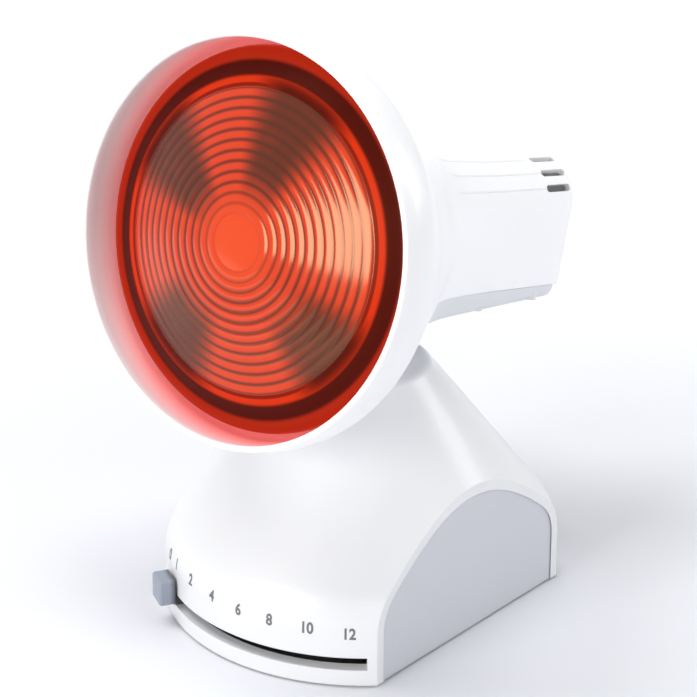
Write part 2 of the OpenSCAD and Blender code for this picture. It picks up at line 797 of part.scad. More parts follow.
base_shell();
side_cover_left();
side_cover_right();
base_plate();
base_feet();
plate_screws();
timer_case();
timer_cover();
timer_screws();
timer_shaft();
slider_arm();
slider_knob();
drive_gear();
escape_wheel();
spring_barrel();
mainspring();
switch_cam();
switch_block();
contact_blades();
bell_gong();
bell_post();
terminal_block();
cable_gland();
gland_nut();
base_lead();
pivot_bolt();
pivot_nut();
friction_washers();
head_shell();
bottom_cover();
cover_screws();
lamp_holder();
holder_sleeve();
holder_contact();
holder_bracket();
holder_screws();
bulb_lens();
bulb_reflector();
bulb_skirt();
bulb_cap();
bulb_insulator();
bulb_contact();
bulb_filament();
filament_posts();
head_lead();
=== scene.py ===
"""Looks of the infrared heat lamp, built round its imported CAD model.

Metres. -Y is the front, +Z is up, and the origin is on the table under the base.
The head is drawn in millimetres in its own axes (x across, back along the bulb, up
square to both) and then tilted into place.
"""
import math

import bmesh
import bpy
from mathutils import Matrix, Vector

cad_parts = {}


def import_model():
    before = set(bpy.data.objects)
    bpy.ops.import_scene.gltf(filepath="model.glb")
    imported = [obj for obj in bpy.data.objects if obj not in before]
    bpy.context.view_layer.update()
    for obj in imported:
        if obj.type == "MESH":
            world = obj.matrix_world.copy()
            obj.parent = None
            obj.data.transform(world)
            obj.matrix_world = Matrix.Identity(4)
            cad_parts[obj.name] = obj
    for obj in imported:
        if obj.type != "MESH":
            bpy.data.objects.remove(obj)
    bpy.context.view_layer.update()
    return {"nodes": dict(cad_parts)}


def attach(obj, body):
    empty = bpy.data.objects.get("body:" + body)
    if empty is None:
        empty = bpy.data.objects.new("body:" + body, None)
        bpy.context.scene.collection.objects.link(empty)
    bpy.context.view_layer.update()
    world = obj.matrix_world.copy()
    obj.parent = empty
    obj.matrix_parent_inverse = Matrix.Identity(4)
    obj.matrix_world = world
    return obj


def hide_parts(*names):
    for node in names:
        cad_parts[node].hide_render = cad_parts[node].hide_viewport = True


MM = 0.001

# the head's place and tilt, as in the CAD model
HEAD_TILT = math.radians(15.7)
RIM = Vector((0, -61.4, 148.5)) * MM

# the base, in millimetres
BASE_R = 66.2
SKIRT_Z = 18.8
SHOULDER_R = 23.0
SHOULDER_SINE = 0.6     # the shoulder isn't followed further round than this

# the head, in millimetres: distances run back from the rim
HEAD_BACK = 143.5
HEAD_WALL = 2.2
SHADE_OUTLINE = [(1, 65.5), (6, 66.1), (12, 65.7), (15.5, 64.9), (18.5, 63.5), (24, 60.2),
                 (30, 56.2), (38, 51.5), (48, 45.9), (57, 40.4), (65, 35.6), (72, 31.8),
                 (79, 28.9), (86, 27.1), (95, 25.0), (104, 21.8), (113, 17.2), (124, 11.0)]
SHADE_END = 121.0       # beyond this the housing stands clear of the shade's curve
LIP_R = 1.0
BLEND = 9.0             # reach of the fillet between shade and housing
BACK_ROUND = 2.4
SEAM_UP = -15.4
SEAM_FRONT = 66.0

# the rear housing: half its width, its roof and its floor, each with its slope
BOX_FRONT = 60.0
BOX_STARTS = 40.0       # before this it is inside the shade
BOX_HALF, HALF_SLOPE = 27.2, -0.02
BOX_ROOF, ROOF_SLOPE = 29.3, -0.015
BOX_FLOOR, FLOOR_SLOPE = -25.4, 0.057
ROOF_R = 42.0
CORNER_R = 15.0
FLOOR_R = 4.0

# vents round the roof's corners, and the shallow lines that run up to them
VENT_FROM = 127.0
VENT_TO = 140.6
VENT_W = 2.4
VENT_ANGLES = (18.0, 42.0, 63.0)
VENT_BELOW = 6.0        # how far a vent's cutter reaches below and above the roof
VENT_ABOVE = 4.0
VENT_STEPS = 10
GROOVE_FRONT = 72.0
GROOVE_HALF = 0.011     # half the line's width, in radians
GROOVE_CLEAR = 1.3      # no other direction is nearer to a line than this many halves
GROOVE_DEPTH = 0.35
GROOVE_EASE_IN = 4.0
GROOVE_EASE_OUT = 1.5

# steps of the head's mesh
HEAD_DIRECTIONS = 288
INSIDE_STEP = 4
OUTSIDE_STEP = 1.5
LIP_STEPS = 12
BACK_STEPS = 6
SHARP_ANGLE = 32

# the cover under the housing stands this much inside the housing's skin and back
COVER_INSET = 0.4
COVER_SHORT = 2.2
SEAM_OVERLAP = 0.2
# the cutters reach beyond the head: out, ahead and behind
CUT_OUT = 90
CUT_AHEAD = -20
CUT_BEHIND = 200

# painted red glow of the bulb on the shade's inside, in millimetres back from the rim
GLOW_FROM = 0.5
GLOW_LATE = 4.5         # how much later it begins on the left
GLOW_WEAKER = 0.6       # how much weaker it is there
GLOW_FULL = 12.0

# the bulb's front glass, in millimetres
LENS_R = 61.0
LENS_EDGE = 11.2
LENS_FRONT = -1.2
LENS_BACK = 15.4
LENS_MIDDLE_BACK = 9.0
LENS_LAND = 6.0         # flat ring at the glass's back edge
LENS_HOLE = 0.4         # the first ring of the mesh
LENS_STEP = 0.3
LENS_SIDES = 192
EDGE_STEPS = 8
RIB_FROM = 9.0
RIB_TO = 48.0
RIB_COUNT = 12
RIB_HEIGHT = 0.21
RIB_HEIGHT_OUT = 0.13   # the outer rings are shallower
RIB_EASE_FROM = 26.0
RIB_EASE_TO = 38.0
RIB_FOOT = 0.3          # the rings stand on glass this far behind the dome
BAND_FROM = 56.5
EDGE_ROUND = 1.4
GROOVE_DROP = 0.4
BAND_RISE = 0.7
BRIGHT_RING_TO = 50.6   # plain glass between the last ring and the dark ring
GLOSS_TO = 48.2         # the glass outside this is duller

# ---- small helpers ----------------------------------------------------------------


def head_matrix():
    """Takes the head's axes (x, back, up) in millimetres to the shared frame in metres."""
    turn = Matrix.Rotation(-HEAD_TILT, 4, "X")
    return Matrix.Translation(RIM) @ turn @ Matrix.Scale(MM, 4)


def new_object(name, data):
    piece = bpy.data.objects.new(name, data)
    bpy.context.scene.collection.objects.link(piece)
    return piece


class Editing:
    """Opens a mesh for editing, and writes it back."""

    def __init__(self, mesh):
        self.mesh = mesh
        self.open = bmesh.new()

    def __enter__(self):
        self.open.from_mesh(self.mesh)
        return self.open

    def __exit__(self, *error):
        self.open.to_mesh(self.mesh)
        self.open.free()


def mesh_from_rings(name, rings):
    """A closed mesh whose rings of equal length are joined in turn, with both ends shut."""
    count = len(rings[0])
    verts = [p for ring in rings for p in ring]
    faces = []
    for i in range(len(rings) - 1):
        for k in range(count):
            a = i * count + k
            b = i * count + (k + 1) % count
            faces.append((a, b, b + count, a + count))
    faces.append(tuple(range(count - 1, -1, -1)))
    faces.append(tuple((len(rings) - 1) * count + k for k in range(count)))
    mesh = bpy.data.meshes.new(name)
    mesh.from_pydata(verts, [], faces)
    mesh.validate()
    return mesh


def smooth_by_angle(piece, degrees):
    """Smooth shading, with sharp edges where faces meet at more than the given angle."""
    limit = math.radians(degrees)
    with Editing(piece.data) as bm:
        bmesh.ops.recalc_face_normals(bm, faces=bm.faces)
        for face in bm.faces:
            face.smooth = True
        for edge in bm.edges:
            edge.smooth = len(edge.link_faces) == 2 and edge.calc_face_angle(0) < limit


def built_mesh(piece):
    """A piece's mesh with its modifiers, or the mesh of its text."""
    graph = bpy.context.evaluated_depsgraph_get()
    return bpy.data.meshes.new_from_object(piece.evaluated_get(graph))


def cut(piece, cutters):
    """Takes cutters away from a piece and deletes them."""
    for cutter in cutters:
        boolean = piece.modifiers.new("cut", "BOOLEAN")
        boolean.operation = "DIFFERENCE"
        boolean.solver = "EXACT"
        boolean.object = cutter
        mesh = built_mesh(piece)
        piece.modifiers.clear()
        piece.data = mesh
        bpy.data.objects.remove(cutter)


def box(name, low, high):
    """A box between two corners."""
    size = Vector(high) - Vector(low)
    middle = (Vector(high) + Vector(low)) / 2
    mesh = bpy.data.meshes.new(name)
    with Editing(mesh) as bm:
        bmesh.ops.create_cube(bm, size=1)
        for v in bm.verts:
            v.co = v.co * size + middle
    return new_object(name, mesh)


def dress(piece, *materials):
    piece.data.materials.clear()
    for material in materials:
        piece.data.materials.append(material)


# ---- materials --------------------------------------------------------------------

WHITE = (1, 1, 1)

# moulded plastic: the scale and depth of its clouds, its uneven shine and its grain
CLOUD_SCALE = 18
CLOUD_DIM = 0.975
CLOUD_STOPS = (0.3, 0.7)
SHINE_SCALE = 60
SHINE_LOW, SHINE_HIGH = 0.9, 1.15
GRAIN_SCALE = 900
GRAIN_DETAIL = 2
GRAIN_BUMP = 0.25
BEVEL_SAMPLES = 6

# painted light: the bulb's red glow on the shade's wall, as a red tint in its colour and a faint
# emission
WALL_PAINTED_RED = (0.80, 0.18, 0.175)
WALL_PAINTED_GLOW = (1.0, 0.25, 0.24)
WALL_PAINTED_GLOW_STRENGTH = 0.33

# the knob darkens towards the wall, between these distances from the base's middle
KNOB_DARK_R = 67.0
KNOB_LIGHT_R = 69.2
KNOB_DARK = (0.09, 0.10, 0.12)

# metal: scale, detail, darkness, change of shine and relief of its fine scratches
SCRATCH_SCALE = 400
SCRATCH_DETAIL = 5
SCRATCH_DIM = 0.85
SCRATCH_STOPS = (0.35, 0.65)
SCRATCH_LOW, SCRATCH_HIGH = 0.8, 1.3
SCRATCH_BUMP = 0.15
SCRATCH_DEPTH = 0.02

# the red glass with the bulb's glow behind it
GLOW_RED = (0.74, 0.034, 0.005)
CORE_RED = (0.86, 0.060, 0.008)
GROOVE_SHADE_RED = (0.15, 0.005, 0.002)
BAND_RED = (0.42, 0.017, 0.004)
DARK_RED = (0.036, 0.003, 0.002)
GLASS_BODY = (0.03, 0.002, 0.001)
GLASS_SHEEN = (1.0, 0.62, 0.37)
RIB_STOPS = (0.22, 0.80)
CORE_FROM, CORE_FULL = 20.0, 4.0
# painted dark reflections: four dark patches painted into the glow between the bulb's
# bright quarters: direction, width in degrees and the radius in millimetres where each begins
PAINTED_DARK_REFLECTIONS = ((77, 18, 11), (152, 17, 11), (239, 18, 20), (325, 17, 22))
PATCH_OUTER, PATCH_INNER = 1.5, 0.4     # widths at which a patch is gone, and is full
PATCH_RISE = 14.0
PATCH_GONE, PATCH_FULL = 55.0, 49.0
MOTTLE_SCALE = 90
MOTTLE_SPREAD, MOTTLE_LOW = 0.5, 0.78
CREST_LIGHTER = 0.06
# the dark ring and the thin line inside it: radii where each is gone, and is full
RING_INNER = (50.8, 52.2)
RING_OUTER = (57.3, 55.7)
LINE_INNER = (47.8, 48.5)
LINE_OUTER = (49.7, 49.1)
LINE_SHARE = 0.75
RING_SHARE = 0.97
WAVE_SCALE, WAVE_DETAIL = 140, 2
WAVE_BUMP, WAVE_DEPTH = 0.2, 0.03


class Nodes:
    """Short calls for the node tree of a material or a world, which starts empty."""

    def __init__(self, owner):
        self.owner = owner
        owner.use_nodes = True
        self.tree = owner.node_tree
        self.tree.nodes.clear()

    def feed(self, socket, item):
        """Gives a socket a link, a colour as three numbers, or any other value."""
        if isinstance(item, bpy.types.NodeSocket):
            self.tree.links.new(item, socket)
        elif socket.type == "RGBA":
            socket.default_value = (*item, 1)
        else:
            socket.default_value = item

    def add(self, kind, sockets, **settings):
        node = self.tree.nodes.new(kind)
        for key, value in settings.items():
            setattr(node, key, value)
        for key, item in sockets.items():
            self.feed(node.inputs[key], item)
        return node

    def math(self, operation, *items):
        return self.add("ShaderNodeMath", dict(enumerate(items)), operation=operation).outputs[0]

    def product(self, first, *others):
        for other in others:
            first = self.math("MULTIPLY", first, other)
        return first

    def coords(self):
        return self.add("ShaderNodeTexCoord", {}).outputs["Object"]

    def length(self, vector):
        return self.add("ShaderNodeVectorMath", {0: vector}, operation="LENGTH").outputs["Value"]

    def noise(self, scale, detail=3.0):
        sockets = {"Vector": self.coords(), "Scale": scale, "Detail": detail}
        return self.add("ShaderNodeTexNoise", sockets).outputs["Fac"]

    def ramp(self, factor, places, colours):
        """Two colours at two places, and their blend between."""
        node = self.add("ShaderNodeValToRGB", {"Fac": factor})
        for element, place, colour in zip(node.color_ramp.elements, places, colours):
            element.position = place
            element.color = (*colour, 1)
        return node.outputs["Color"]

    def mix(self, factor, first, second):
        sockets = {"Factor": factor, "A": first, "B": second}
        return self.add("ShaderNodeMix", sockets, data_type="RGBA").outputs["Result"]

    def spread(self, factor, low, high):
        """Takes 0 to 1 evenly to low to high."""
        sockets = {"Value": factor, "To Min": low, "To Max": high}
        return self.add("ShaderNodeMapRange", sockets).outputs[0]

    def rise(self, value, low, high):
        """0 at low and 1 at high, with a smooth step between."""
        sockets = {"Value": value, "From Min": low, "From Max": high}
        return self.add("ShaderNodeMapRange", sockets,
                        interpolation_type="SMOOTHSTEP").outputs[0]

    def bump(self, height, strength, depth, **normal):
        """Relief whose depth is in millimetres."""
        sockets = {"Height": height, "Strength": strength, "Distance": depth * MM, **normal}
        return self.add("ShaderNodeBump", sockets).outputs["Normal"]

    def surface(self, shader):
        self.add("ShaderNodeOutputMaterial", {"Surface": shader.outputs[0]})
        return self.owner


def dimmed(colour, amount):
    return tuple(c * amount for c in colour)


def moulded(name, colour, roughness, grain=0.012, coat=0.0, edge=0.4, painted_red_glow=False, foot=False):
    """Moulded plastic: a fine grain, a faint unevenness of colour and shine, soft edges.

    Where asked, the mesh attribute "glow" paints the bulb's red light onto the shade's inside: a
    red tint and a faint emission.
    With a foot, it is dark where it meets the base's wall.
    """
    n = Nodes(bpy.data.materials.new(name))
    clouds = (dimmed(colour, CLOUD_DIM), colour)
    look = {"Base Color": n.ramp(n.noise(CLOUD_SCALE), CLOUD_STOPS, clouds),
            "Roughness": n.spread(n.noise(SHINE_SCALE), roughness * SHINE_LOW,
                                  roughness * SHINE_HIGH),
            "Coat Weight": coat}
    # painted light: the bulb's red glow, tinted into the colour with a faint emission
    if painted_red_glow:
        glow = n.add("ShaderNodeAttribute", {}, attribute_name="glow").outputs["Fac"]
        look["Base Color"] = n.mix(glow, look["Base Color"], WALL_PAINTED_RED)
        look["Emission Color"] = WALL_PAINTED_GLOW
        look["Emission Strength"] = n.product(glow, WALL_PAINTED_GLOW_STRENGTH)
    if foot:
        flat = n.add("ShaderNodeVectorMath", {0: n.coords(), 1: (1, 1, 0)},
                     operation="MULTIPLY").outputs[0]
        out = n.rise(n.length(flat), KNOB_DARK_R * MM, KNOB_LIGHT_R * MM)
        look["Base Color"] = n.mix(out, KNOB_DARK, look["Base Color"])
    bevel = n.add("ShaderNodeBevel", {"Radius": edge * MM}, samples=BEVEL_SAMPLES)
    look["Normal"] = n.bump(n.noise(GRAIN_SCALE, GRAIN_DETAIL), GRAIN_BUMP, grain,
                            Normal=bevel.outputs[0])
    return n.surface(n.add("ShaderNodeBsdfPrincipled", look))


def metal(name, colour, roughness):
    """Plated or turned metal with fine scratches."""
    n = Nodes(bpy.data.materials.new(name))
    scratches = n.noise(SCRATCH_SCALE, SCRATCH_DETAIL)
    tones = (dimmed(colour, SCRATCH_DIM), colour)
    return n.surface(n.add("ShaderNodeBsdfPrincipled", {
        "Metallic": 1,
        "Base Color": n.ramp(scratches, SCRATCH_STOPS, tones),
        "Roughness": n.spread(scratches, roughness * SCRATCH_LOW, roughness * SCRATCH_HIGH),
        "Normal": n.bump(scratches, SCRATCH_BUMP, SCRATCH_DEPTH)}))


def rib_crests(n, radius):
    """0 in a groove between the glass's rings, 1 on a crest and on plain glass."""
    phase = n.product(n.math("SUBTRACT", radius, RIB_FROM),
                      math.pi * RIB_COUNT / (RIB_TO - RIB_FROM))
    depth = n.math("SUBTRACT", 1.0, n.math("ABSOLUTE", n.math("SINE", phase)))
    ringed = n.product(n.math("GREATER_THAN", radius, RIB_FROM),
                       n.math("LESS_THAN", radius, RIB_TO))
    return n.math("SUBTRACT", 1.0, n.product(ringed, depth))


def painted_dark_reflections(n, radius, angle, crests):
    """How dark the four painted dark reflections between the bulb's bright quarters are."""
    dark = 0.0
    ends = n.rise(radius, PATCH_GONE, PATCH_FULL)
    for degrees, width, start in PAINTED_DARK_REFLECTIONS:
        near = n.math("COSINE", n.math("SUBTRACT", angle, math.radians(degrees)))
        across = n.rise(near, math.cos(math.radians(width * PATCH_OUTER)),
                        math.cos(math.radians(width * PATCH_INNER)))
        begins = n.rise(radius, start, start + PATCH_RISE)
        dark = n.math("MAXIMUM", dark, n.product(across, begins, ends))
    mottle = n.math("MULTIPLY_ADD", n.noise(MOTTLE_SCALE), MOTTLE_SPREAD, MOTTLE_LOW)
    return n.product(dark, n.math("MINIMUM", mottle, 1.0),
                     n.math("MULTIPLY_ADD", crests, -CREST_LIGHTER, 1.0))


def red_glass(name, ior, roughness):
    """Deep red ringed glass with the bulb's glow behind it, and painted shade and dark
    reflections in that glow.

    The mesh holds the head's own millimetres as the attribute "head", so that the
    rings and the quarters follow the glass.
    """
    n = Nodes(bpy.data.materials.new(name))
    place = n.add("ShaderNodeAttribute", {}, attribute_name="head").outputs["Vector"]
    split = n.add("ShaderNodeSeparateXYZ", {0: place})
    x, up = split.outputs["X"], split.outputs["Z"]
    radius = n.math("SQRT", n.math("ADD", n.product(x, x), n.product(up, up)))
    crests = rib_crests(n, radius)

    ring = n.product(n.rise(radius, *RING_INNER), n.rise(radius, *RING_OUTER))
    line = n.product(n.rise(radius, *LINE_INNER), n.rise(radius, *LINE_OUTER), LINE_SHARE)
    rings = n.product(n.math("MAXIMUM", ring, line), RING_SHARE)
    # painted dark reflections in the glow
    dark_reflections = painted_dark_reflections(n, radius, n.math("ARCTAN2", up, x), crests)
    dark = n.math("MINIMUM", n.math("MAXIMUM", dark_reflections, rings), 1.0)

    # painted shade: the glow is darker in the grooves between the glass's rings than on their
    # crests
    glow = n.ramp(crests, RIB_STOPS, (GROOVE_SHADE_RED, GLOW_RED))
    glow = n.mix(n.rise(radius, CORE_FROM, CORE_FULL), glow, CORE_RED)
    glow = n.mix(n.rise(radius, BRIGHT_RING_TO, BAND_FROM), glow, BAND_RED)
    waves = n.noise(WAVE_SCALE, WAVE_DETAIL)
    return n.surface(n.add("ShaderNodeBsdfPrincipled", {
        "Base Color": GLASS_BODY,
        "Roughness": roughness,
        "IOR": ior,
        "Specular Tint": GLASS_SHEEN,
        "Emission Strength": 1.0,
        "Emission Color": n.mix(dark, glow, DARK_RED),
        "Normal": n.bump(waves, WAVE_BUMP, WAVE_DEPTH)}))


def make_materials():
    return {
        # the base's white is a dimmer copy of the shade's white plastic: painted shade on the
        # base
        "shell": moulded("white_shell", (0.83, 0.833, 0.848), 0.34, coat=0.15),
        # the shade's inside carries the painted red glow of the bulb
        "shade": moulded("white_shade", (0.93, 0.932, 0.945), 0.34, coat=0.15, painted_red_glow=True),
        # the cover's grey is painted shade: white cover plastic darkened to stand for the shade
        # along the housing's underside
        "cover": moulded("cover_painted_shade", (0.70, 0.71, 0.74), 0.4),
        "side": moulded("side_grey", (0.625, 0.635, 0.68), 0.4),
        "knob": moulded("grey_knob", (0.31, 0.34, 0.41), 0.42, edge=0.3, foot=True),
        "tray": moulded("dark_tray", (0.075, 0.073, 0.062), 0.55),
        "rubber": moulded("rubber_feet", (0.02, 0.02, 0.02), 0.75, grain=0.03),
        "black": moulded("black_plastic", (0.03, 0.03, 0.03), 0.5),
        "fitting": moulded("white_fitting", (0.75, 0.75, 0.72), 0.45),
        "ceramic": moulded("glazed_ceramic", (0.80, 0.79, 0.75), 0.22, coat=0.6),
        "lead": moulded("lead_cover", (0.35, 0.35, 0.36), 0.5, grain=0.03),
        "print": moulded("grey_print", (0.16, 0.165, 0.17), 0.5),
        "steel": metal("plated_steel", (0.62, 0.63, 0.65), 0.32),
        "brass": metal("satin_brass", (0.72, 0.55, 0.26), 0.30),
        "cap": metal("spun_cap", (0.68, 0.68, 0.70), 0.25),
        "silver": metal("silvered_glass", (0.85, 0.85, 0.87), 0.12),
        "filament": metal("tungsten", (0.25, 0.23, 0.21), 0.45),
        "lens": red_glass("red_ringed_glass", 1.62, 0.14),
        "lens_edge": red_glass("red_edge_glass", 1.15, 0.3),
    }


NODE_LOOKS = {
    "shell": ("base_shell",),
    "cover": ("bottom_cover",),
    "side": ("side_cover_left", "side_cover_right"),
    "knob": ("slider_knob",),
    "tray": ("base_plate", "slider_arm"),
    "rubber": ("base_feet", "friction_washers"),
    "black": ("switch_block", "bulb_insulator"),
    "fitting": ("switch_cam", "terminal_block", "cable_gland", "gland_nut"),
    "ceramic": ("lamp_holder",),
    "lead": ("base_lead", "head_lead"),
    "steel": ("plate_screws", "timer_case", "timer_cover", "timer_screws", "timer_shaft",
              "mainspring", "bell_gong", "pivot_bolt", "pivot_nut", "cover_screws",
              "holder_bracket", "holder_screws", "filament_posts", "bulb_contact"),
    "brass": ("drive_gear", "escape_wheel", "spring_barrel", "contact_blades", "bell_post",
              "holder_sleeve", "holder_contact"),
    "cap": ("bulb_skirt", "bulb_cap"),
    "silver": ("bulb_reflector",),
    "filament": ("bulb_filament",),
}


def dress_nodes(frame, materials):
    """Gives each CAD node that stays its material."""
    for look, nodes in NODE_LOOKS.items():
        for node in nodes:
            piece = frame["nodes"][node]
            if not piece.data.materials:
                piece.data.materials.append(materials[look])
            for slot in piece.material_slots:
                slot.material = materials[look]


# ---- the head ---------------------------------------------------------------------


def clamp(value):
    return min(max(value, 0), 1)


def through(points, at):
    """Smooth curve through points sorted by their first value."""
    last = len(points) - 1
    i = 0
    while i < last - 1 and points[i + 1][0] < at:
        i += 1

    def slope(k):
        a = points[max(k - 1, 0)]
        b = points[min(k + 1, last)]
        return (b[1] - a[1]) / (b[0] - a[0])

    (x0, y0), (x1, y1) = points[i], points[i + 1]
    width = x1 - x0
    t = clamp((at - x0) / width)
    return ((2 * t ** 3 - 3 * t ** 2 + 1) * y0 + (t ** 3 - 2 * t ** 2 + t) * width * slope(i)
            + (-2 * t ** 3 + 3 * t ** 2) * y1 + (t ** 3 - t ** 2) * width * slope(i + 1))


def box_half(back):
    return BOX_HALF + HALF_SLOPE * (back - BOX_FRONT)


def box_roof(back):
    return BOX_ROOF + ROOF_SLOPE * (back - BOX_FRONT)


def box_floor(back):
    return BOX_FLOOR + FLOOR_SLOPE * (back - BOX_FRONT)


def corner_middle(back):
    """Centre of the roof's right corner, which runs smoothly into the dome."""
    x = box_half(back) - CORNER_R
    up = box_roof(back) - ROOF_R + math.sqrt((ROOF_R - CORNER_R) ** 2 - x ** 2)
    return x, up


def arc(x, up, r, start, end, steps):
    return [(x + r * math.cos(math.radians(start + (end - start) * i / steps)),
             up + r * math.sin(math.radians(start + (end - start) * i / steps)))
            for i in range(steps + 1)]


def box_outline(back):
    """The housing's outline across the head, as a closed polygon."""
    x, up = corner_middle(back)
    end = math.degrees(math.acos(x / (ROOF_R - CORNER_R)))
    half, low = box_half(back), box_floor(back) + FLOOR_R
    return (arc(x, up, CORNER_R, 0, end, 24)
            + arc(0, box_roof(back) - ROOF_R, ROOF_R, end, 180 - end, 24)
            + arc(-x, up, CORNER_R, 180 - end, 180, 24)
            + arc(FLOOR_R - half, low, FLOOR_R, 180, 270, 10)
            + arc(half - FLOOR_R, low, FLOOR_R, 270, 360, 10))


def reach(outline, angle):
    """Distance from the axis to a convex outline in a direction."""
    dx, dy = math.cos(angle), math.sin(angle)
    best = 0
    for (x0, y0), (x1, y1) in zip(outline, outline[1:] + outline[:1]):
        ex, ey = x1 - x0, y1 - y0
        det = ex * dy - ey * dx
        if abs(det) < 1e-9:
            continue
        t = (ex * y0 - ey * x0) / det
        s = (dx * y0 - dy * x0) / det
        if t > 0 and -1e-6 <= s <= 1 + 1e-6:
            best = max(best, t)
    return best


def blend_max(a, b, width):
    """The larger of two values, rounded where they are nearly equal."""
    h = max(width - abs(a - b), 0) / width
    return max(a, b) + h * h * width / 4


def groove_angles():
    """Directions from the axis to the vents, on both sides."""
    x, up = corner_middle(VENT_FROM)
    angles = []
    for degrees in VENT_ANGLES:
        v = math.radians(degrees)
        px, py = x + CORNER_R * math.sin(v), up + CORNER_R * math.cos(v)
        angles += [math.atan2(py, px), math.atan2(py, -px)]
    return angles


def head_directions():
    """Directions round the head: evenly spaced, with more at the grooves."""
    angles = [2 * math.pi * i / HEAD_DIRECTIONS - math.pi / 2 for i in range(HEAD_DIRECTIONS)]
    for centre in groove_angles():
        angles = [a for a in angles if abs(a - centre) > GROOVE_HALF * GROOVE_CLEAR]
        angles += [centre + GROOVE_HALF * s for s in (-1, -0.6, 0, 0.6, 1)]
    return sorted(angles)


class HeadForm:
    """Radius of the head's outside in each direction and at each distance back."""

    def __init__(self):
        self.angles = head_directions()
        self.front = [reach(box_outline(BOX_FRONT), a) for a in self.angles]
        self.back = [reach(box_outline(HEAD_BACK), a) for a in self.angles]
        self.grooves = [self.groove(a) for a in self.angles]

    def groove(self, angle):
        nearest = min(abs(angle - g) for g in groove_angles())
        return max(0.0, 1 - nearest / GROOVE_HALF)

    def radius(self, k, back, inset):
        shade = through(SHADE_OUTLINE, back) if back < SHADE_END else 0
        share = (back - BOX_FRONT) / (HEAD_BACK - BOX_FRONT)
        box_r = self.front[k] + (self.back[k] - self.front[k]) * share if back > BOX_STARTS else 0
        r = blend_max(shade, box_r, BLEND) - inset
        if inset == 0 and GROOVE_FRONT < back < VENT_FROM:
            ease = min(1, (back - GROOVE_FRONT) / GROOVE_EASE_IN,
                       (VENT_FROM - back) / GROOVE_EASE_OUT)
            r -= GROOVE_DEPTH * self.grooves[k] * ease
        return r

    def ring(self, back, inset):
        radii = [self.radius(k, back, inset) for k in range(len(self.angles))]
        return [(r * math.cos(a), back, r * math.sin(a)) for r, a in zip(radii, self.angles)]

    def circle(self, r, back):
        return [(r * math.cos(a), back, r * math.sin(a)) for a in self.angles]


def steps_between(start, end, step):
    count = max(1, round((end - start) / step))
    return [start + (end - start) * i / count for i in range(count + 1)]


def hollow_head(name, form, inset, back_end):
    """The whole head as a closed shell: inside, rim, outside, and a rounded back."""
    inside = steps_between(3, 16, 1) + steps_between(17, back_end - HEAD_WALL, INSIDE_STEP)
    rings = [form.ring(a, HEAD_WALL + inset) for a in reversed(inside)]
    lip_middle = SHADE_OUTLINE[0][1] - LIP_R
    for i in range(LIP_STEPS + 1):
        turn = math.pi - math.pi * i / LIP_STEPS
        rings.append(form.circle(lip_middle + LIP_R * math.cos(turn) - inset,
                                 LIP_R - LIP_R * math.sin(turn)))
    outside = steps_between(2, 30, 1) + steps_between(31, back_end - BACK_ROUND, OUTSIDE_STEP)
    rings += [form.ring(a, inset) for a in outside]
    for i in range(1, BACK_STEPS + 1):
        turn = math.pi / 2 * i / BACK_STEPS
        rings.append(form.ring(back_end - BACK_ROUND * (1 - math.sin(turn)),
                               inset + BACK_ROUND * (1 - math.cos(turn))))
    return mesh_from_rings(name, rings)


def vent_cutter(side, degrees):
    """A round-ended slot that stands out through the roof's corner."""
    x, up = corner_middle((VENT_FROM + VENT_TO) / 2)
    v = math.radians(degrees)
    out = Vector((side * math.sin(v), 0, math.cos(v)))
    across = Vector((side * math.cos(v), 0, -math.sin(v)))
    middle = Vector((side * x, 0, up))
    r = VENT_W / 2
    outline = []
    for end, way in ((VENT_TO - r, 1), (VENT_FROM + r, -1)):
        for i in range(VENT_STEPS + 1):
            turn = math.pi * i / VENT_STEPS
            outline.append((end + way * r * math.sin(turn), way * r * math.cos(turn)))
    rings = []
    for height in (CORNER_R - VENT_BELOW, CORNER_R + VENT_ABOVE):
        rings.append([middle + out * height + across * b + Vector((0, a, 0)) for a, b in outline])
    mesh = mesh_from_rings("vent_cutter", rings)
    with Editing(mesh) as bm:
        bmesh.ops.recalc_face_normals(bm, faces=bm.faces)
    return new_object("vent_cutter", mesh)


def mark_painted_glow(mesh):
    """Stores how strongly the painted red glow of the bulb tints each point of the shade's
    inside.
    """
    glow = mesh.attributes.new("glow", "FLOAT", "POINT")
    for i, vertex in enumerate(mesh.vertices):
        x, back, up = vertex.co
        r = math.hypot(x, up)
        left = max(-x / r, 0)
        start = GLOW_FROM + GLOW_LATE * left ** 3
        strength = clamp((back - start) / (GLOW_FULL - start)) * (1 - GLOW_WEAKER * left ** 2)
        inner = r < through(SHADE_OUTLINE, back) - HEAD_WALL / 2
        glow.data[i].value = strength if inner and back < BOX_FRONT else 0.0


def make_head(form, materials):
    """The smooth moulding of shade and housing, with its vents, open below."""
    shell = new_object("shade_and_housing", hollow_head("shade_and_housing", form, 0, HEAD_BACK))
    smooth_by_angle(shell, SHARP_ANGLE)
    cutters = [vent_cutter(side, v) for side in (-1, 1) for v in VENT_ANGLES]
    cutters.append(box("below_seam", (-CUT_OUT, SEAM_FRONT, -CUT_OUT),
                       (CUT_OUT, CUT_BEHIND, SEAM_UP)))
    cut(shell, cutters)
    smooth_by_angle(shell, SHARP_ANGLE)
    mark_painted_glow(shell.data)
    shell.data.transform(head_matrix())
    dress(shell, materials["shade"])
    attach(shell, "head")
    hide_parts("head_shell")


